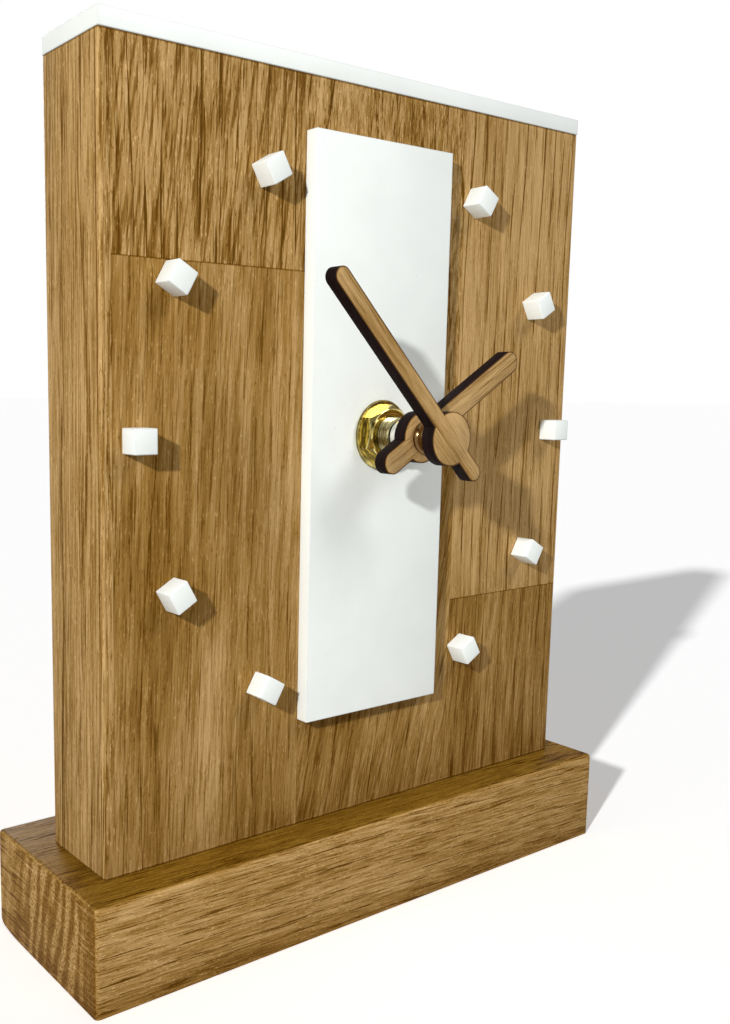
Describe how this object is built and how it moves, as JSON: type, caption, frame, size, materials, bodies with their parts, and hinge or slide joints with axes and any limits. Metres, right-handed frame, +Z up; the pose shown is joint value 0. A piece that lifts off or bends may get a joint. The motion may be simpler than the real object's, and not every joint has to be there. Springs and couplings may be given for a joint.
{
  "type": "table clock",
  "caption": "Upright oak table clock on an oak plinth, with a white dial plate, white cube hour marks, wooden hands and a quartz movement let into its back.",
  "frame": {"origin": "centre of the plinth's underside", "axes": "+Z up, +X to the right as the dial is read, dial faces -Y"},
  "size_m": [0.188, 0.0747, 0.2325],
  "materials": {
    "oak": "oiled oak, satin",
    "white_acrylic": "satin white acrylic",
    "beech": "plain beech",
    "oak_veneer": "oak-faced board, laser-cut edges burnt dark",
    "aluminium": "bright turned",
    "brass": "polished yellow brass",
    "rubber": "black rubber",
    "black_plastic": "moulded black",
    "white_plastic": "moulded off-white",
    "steel": "bright",
    "magnet": "sintered magnet",
    "copper": "enamelled copper wire",
    "board": "green circuit board",
    "cell_jacket": "plain jacket"
  },
  "bodies": {
    "clock_case": {"base": "oak", "body": "oak", "top_strip": "white_acrylic", "dial_plate": "white_acrylic", "hour_cube_1": "white_acrylic", "hour_cube_2": "white_acrylic", "hour_cube_3": "white_acrylic", "hour_cube_4": "white_acrylic", "hour_cube_5": "white_acrylic", "hour_cube_7": "white_acrylic", "hour_cube_8": "white_acrylic", "hour_cube_9": "white_acrylic", "hour_cube_10": "white_acrylic", "hour_cube_11": "white_acrylic", "dowels": "beech", "hand_nut": "brass", "nut_washer": "brass", "threaded_bush": "brass", "rubber_gasket": "rubber", "movement_case": "black_plastic", "movement_cover": "black_plastic", "chip_cover": "black_plastic", "coil_bobbin": "white_plastic", "stator": "steel", "coil_core": "steel", "quartz_crystal": "steel", "cell_contact_plus": "steel", "cell_contact_minus": "steel", "coil_winding": "copper", "circuit_board": "board", "cell": "cell_jacket"},
    "minute": {"minute_hand": "oak_veneer", "minute_hand_collet": "brass", "minute_arbor": "steel"},
    "hour": {"hour_hand": "oak_veneer", "hour_hand_tube": "aluminium", "hour_wheel": "white_plastic"},
    "setting": {"setting_wheel": "white_plastic", "setting_knob": "black_plastic"},
    "centre": {"centre_wheel": "brass"},
    "third": {"third_wheel": "white_plastic"},
    "seconds": {"seconds_wheel": "white_plastic"},
    "intermediate": {"intermediate_wheel": "white_plastic"},
    "rotor": {"rotor_magnet": "magnet", "rotor_pinion": "white_plastic"}
  },
  "joints": [
    {"name": "minute_turn", "type": "hinge", "parent": "clock_case", "child": "minute", "pos_m": [0, -0.0164, 0.1363], "axis": [0, 1, 0], "continuous": true},
    {"name": "hour_turn", "type": "hinge", "parent": "clock_case", "child": "hour", "pos_m": [0, -0.0164, 0.1363], "axis": [0, 1, 0], "continuous": true},
    {"name": "setting_turn", "type": "hinge", "parent": "clock_case", "child": "setting", "pos_m": [0.01056, -0.0164, 0.1363], "axis": [0, 1, 0], "continuous": true},
    {"name": "intermediate_turn", "type": "hinge", "parent": "clock_case", "child": "intermediate", "pos_m": [0.00631, -0.0164, 0.15013], "axis": [0, 1, 0], "continuous": true},
    {"name": "rotor_turn", "type": "hinge", "parent": "clock_case", "child": "rotor", "pos_m": [0.0132, -0.0164, 0.15135], "axis": [0, 1, 0], "continuous": true},
    {"name": "seconds_turn", "type": "hinge", "parent": "clock_case", "child": "seconds", "pos_m": [-0.00102, -0.0164, 0.1528], "axis": [0, 1, 0], "continuous": true},
    {"name": "third_turn", "type": "hinge", "parent": "clock_case", "child": "third", "pos_m": [-0.00578, -0.0164, 0.14456], "axis": [0, 1, 0], "continuous": true},
    {"name": "centre_turn", "type": "hinge", "parent": "clock_case", "child": "centre", "pos_m": [0, -0.0164, 0.1363], "axis": [0, 1, 0], "continuous": true}
  ],
  "couplings": [
    {"joint": "setting_turn", "follows": "minute_turn", "ratio": -0.33333},
    {"joint": "hour_turn", "follows": "minute_turn", "ratio": 0.083333},
    {"joint": "rotor_turn", "follows": "intermediate_turn", "ratio": -6},
    {"joint": "seconds_turn", "follows": "intermediate_turn", "ratio": -0.2},
    {"joint": "third_turn", "follows": "intermediate_turn", "ratio": 0.026667},
    {"joint": "centre_turn", "follows": "intermediate_turn", "ratio": -0.0033333}
  ]
}
